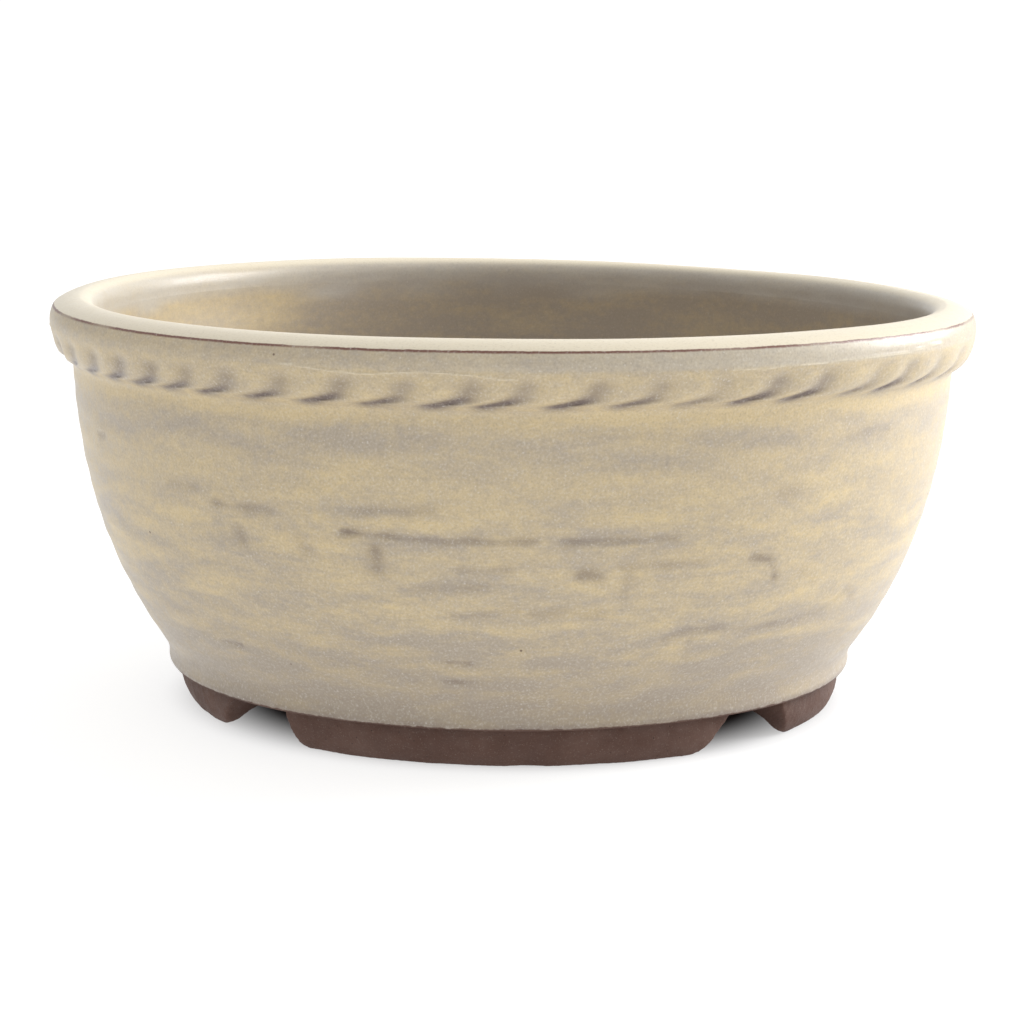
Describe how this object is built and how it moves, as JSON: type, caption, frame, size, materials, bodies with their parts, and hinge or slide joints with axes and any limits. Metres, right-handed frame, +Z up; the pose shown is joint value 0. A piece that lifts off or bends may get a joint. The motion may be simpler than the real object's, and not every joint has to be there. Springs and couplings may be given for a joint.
{
  "type": "bonsai pot",
  "caption": "Round glazed stoneware bowl pot with a rope band under its lip, notched arc feet and a drained floor.",
  "frame": {"origin": "centre of the ground plane under the feet", "axes": "+Z up out of the mouth; -Y is the front, the side that the picture shows; +X is the pot's right as seen from the front"},
  "size_m": [0.22, 0.22, 0.0965],
  "materials": {
    "glaze_body": "gloss",
    "glaze_rope": "gloss",
    "glaze_lip": "satin",
    "bare_stoneware": "matte"
  },
  "bodies": {
    "root": {"floor_slab": "bare_stoneware", "skirt_ring": "glaze_body", "bowl_wall": "glaze_body", "rope_band": "glaze_rope", "lip_ring": "glaze_lip", "foot_front": "bare_stoneware", "foot_right": "bare_stoneware", "foot_back": "bare_stoneware", "foot_left": "bare_stoneware"}
  },
  "joints": []
}
